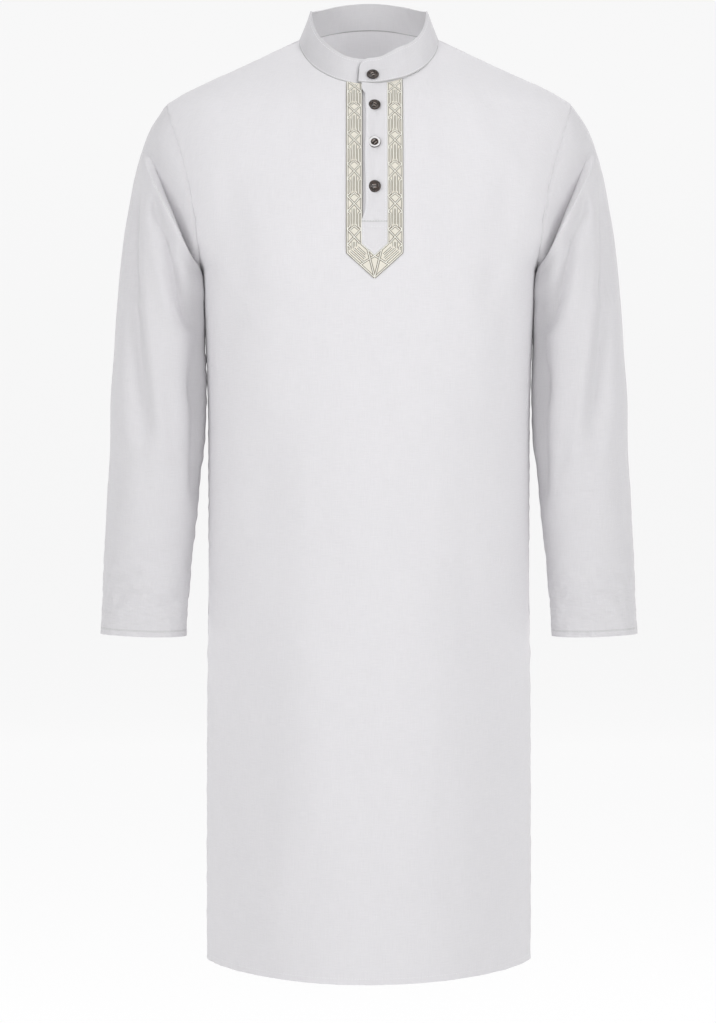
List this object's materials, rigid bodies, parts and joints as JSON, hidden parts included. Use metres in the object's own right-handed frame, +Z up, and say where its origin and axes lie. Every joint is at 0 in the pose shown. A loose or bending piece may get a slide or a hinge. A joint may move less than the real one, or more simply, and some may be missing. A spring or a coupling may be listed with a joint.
{
  "type": "thobe robe",
  "caption": "Hollow worn white thobe: a calf-length tunic with band collar, buttoned half placket, embroidered trim, long sleeves and side slits.",
  "frame": {"origin": "midway between the two points where the shoulder seams meet the neck seam, where the robe hangs on its wearer", "axes": "+Z up, -Y out of the front, +X towards the wearer's left"},
  "size_m": [0.627, 0.2728, 1.1251],
  "materials": {
    "white_cloth": "matt plain-woven cotton and linen",
    "cream_gold_thread": "embroidered, slight sheen",
    "dark_button": "polished"
  },
  "bodies": {
    "root": {"front": "white_cloth", "back": "white_cloth", "sleeve_left": "white_cloth", "sleeve_right": "white_cloth", "collar": "white_cloth", "placket_over": "white_cloth", "placket_under": "white_cloth", "trim": "cream_gold_thread", "button_1": "dark_button", "button_2": "dark_button", "button_3": "dark_button", "button_4": "dark_button"}
  },
  "joints": []
}
